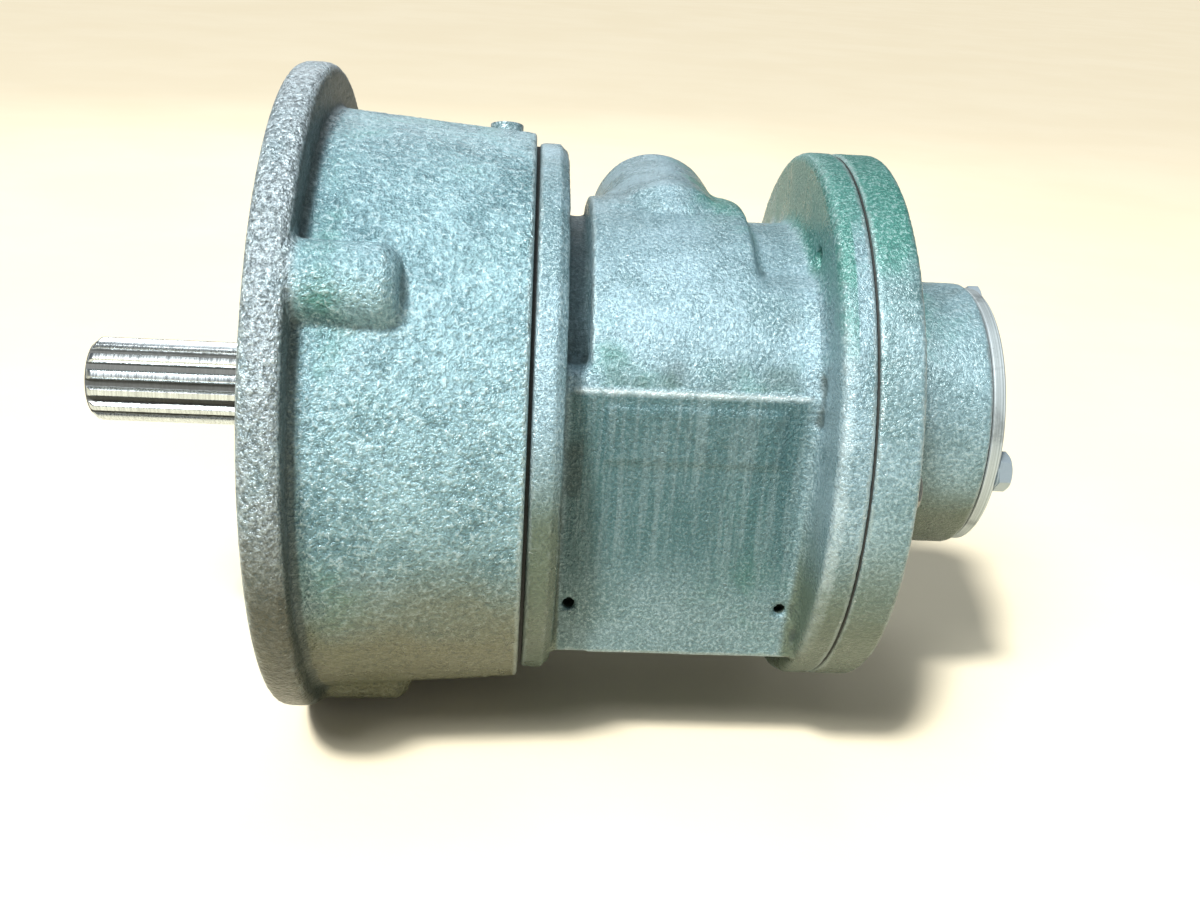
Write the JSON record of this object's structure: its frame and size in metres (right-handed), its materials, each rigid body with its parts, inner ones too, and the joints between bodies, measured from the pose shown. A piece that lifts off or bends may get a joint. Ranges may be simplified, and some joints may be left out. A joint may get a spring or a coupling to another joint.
{
  "type": "worm gearbox",
  "caption": "Worm gearbox with a round bell housing and mounting flange, a splined output shaft and a keyed cross-wise input shaft.",
  "frame": {"origin": "centre of the mounting flange's front face, on the output shaft's axis", "axes": "+X along the output axis from the mounting face towards the end cover (the splined end points -X), +Z towards the worm, +Y out of the input shaft's end"},
  "size_m": [0.3407, 0.24, 0.24],
  "materials": {
    "casting": "worn grey-green paint over as-cast iron",
    "cap": "thin worn paint over machined steel",
    "gasket": "oiled gasket paper",
    "zinc": "bright zinc plated",
    "steel": "turned and ground steel",
    "blackened": "dull painted steel",
    "bearing_steel": "ground and polished",
    "wheel_iron": "machined cast iron",
    "bronze": "machined bronze",
    "seal_rubber": "moulded rubber"
  },
  "bodies": {
    "housing": {"bell_housing": "casting", "bell_gasket": "gasket", "gear_case": "casting", "cover_gasket": "gasket", "end_cover": "casting", "cap_gasket": "gasket", "bearing_cap": "cap", "cap_screws": "zinc", "cover_screws": "steel", "case_screws": "steel", "dowel_pins": "steel", "fill_plug": "blackened", "drain_plug": "steel", "level_plug": "steel", "front_bearing_outer": "bearing_steel", "front_bearing_circlip": "steel", "front_oil_seal": "seal_rubber", "rear_bearing_outer": "bearing_steel", "worm_bush": "bronze", "worm_thrust_washer": "bronze", "worm_bearing_outer": "bearing_steel", "worm_bore_circlip": "steel", "input_seal": "seal_rubber"},
    "output": {"output_shaft": "steel", "wheel_centre": "wheel_iron", "wheel_rim": "bronze", "wheel_rim_bolts": "steel", "wheel_key": "steel", "rear_spacer": "steel", "rear_circlip": "steel", "front_bearing_inner": "bearing_steel", "rear_bearing_inner": "bearing_steel"},
    "worm": {"worm": "steel", "worm_shaft": "steel", "worm_bearing_inner": "bearing_steel", "worm_shaft_circlip": "steel", "input_key": "steel"},
    "front_cage": {"front_bearing_cage": "bronze", "front_bearing_balls": "bearing_steel"},
    "rear_cage": {"rear_bearing_cage": "bronze", "rear_bearing_balls": "bearing_steel"},
    "worm_cage": {"worm_bearing_cage": "bronze", "worm_bearing_balls": "bearing_steel"}
  },
  "joints": [
    {"name": "output_spin", "type": "hinge", "parent": "housing", "child": "output", "pos_m": [0.1, 0, 0], "axis": [1, 0, 0], "continuous": true},
    {"name": "worm_spin", "type": "hinge", "parent": "housing", "child": "worm", "pos_m": [0.135, 0, 0.06], "axis": [0, 1, 0], "continuous": true},
    {"name": "front_cage_spin", "type": "hinge", "parent": "housing", "child": "front_cage", "pos_m": [0.0245, 0, 0], "axis": [1, 0, 0], "continuous": true},
    {"name": "rear_cage_spin", "type": "hinge", "parent": "housing", "child": "rear_cage", "pos_m": [0.2305, 0, 0], "axis": [1, 0, 0], "continuous": true},
    {"name": "worm_cage_spin", "type": "hinge", "parent": "housing", "child": "worm_cage", "pos_m": [0.135, 0.044, 0.06], "axis": [0, 1, 0], "continuous": true}
  ],
  "couplings": [
    {"joint": "worm_spin", "follows": "output_spin", "ratio": 50},
    {"joint": "front_cage_spin", "follows": "output_spin", "ratio": 0.3972},
    {"joint": "rear_cage_spin", "follows": "output_spin", "ratio": 0.3972},
    {"joint": "worm_cage_spin", "follows": "output_spin", "ratio": 19.12}
  ]
}
